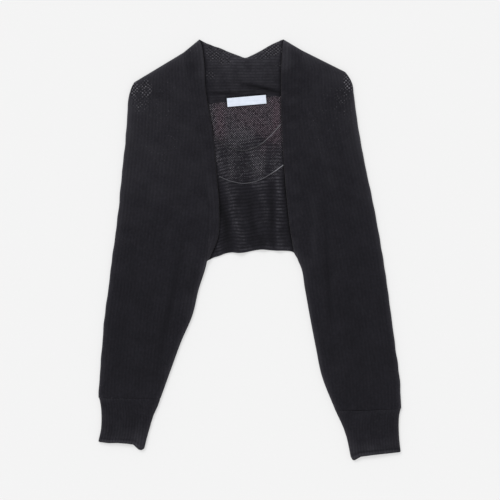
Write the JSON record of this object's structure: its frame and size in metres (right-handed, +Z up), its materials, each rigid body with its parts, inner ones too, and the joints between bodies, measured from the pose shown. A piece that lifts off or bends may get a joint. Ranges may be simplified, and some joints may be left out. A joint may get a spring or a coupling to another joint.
{
  "type": "shawl cardigan",
  "caption": "Cropped black knit shawl cardigan with dolman sleeves, open front with a shawl band, ribbed cuffs and a blank neck label, laid flat face up.",
  "frame": {"origin": "middle of the garment's footprint, on the surface it lies on", "axes": "+Z up from the surface, +Y from the cuffs towards the neck, +X towards the garment's left sleeve, which is on the right seen from above"},
  "size_m": [0.53, 0.732, 0.0091],
  "materials": {
    "black_knit": "matte fine-rib knit, black with a faint blue cast",
    "black_rib": "matte close rib knit, black",
    "label_satin": "white woven satin, blank",
    "loop_cord": "fine smooth pale grey cord"
  },
  "bodies": {
    "root": {"back_panel": "black_knit", "front_sleeve_left": "black_knit", "front_sleeve_right": "black_knit", "collar_left": "black_rib", "collar_right": "black_rib", "collar_neck": "black_rib", "hem_band": "black_rib", "cuff_left": "black_rib", "cuff_right": "black_rib", "neck_label": "label_satin", "loop_upper": "loop_cord", "loop_lower": "loop_cord"}
  },
  "joints": []
}
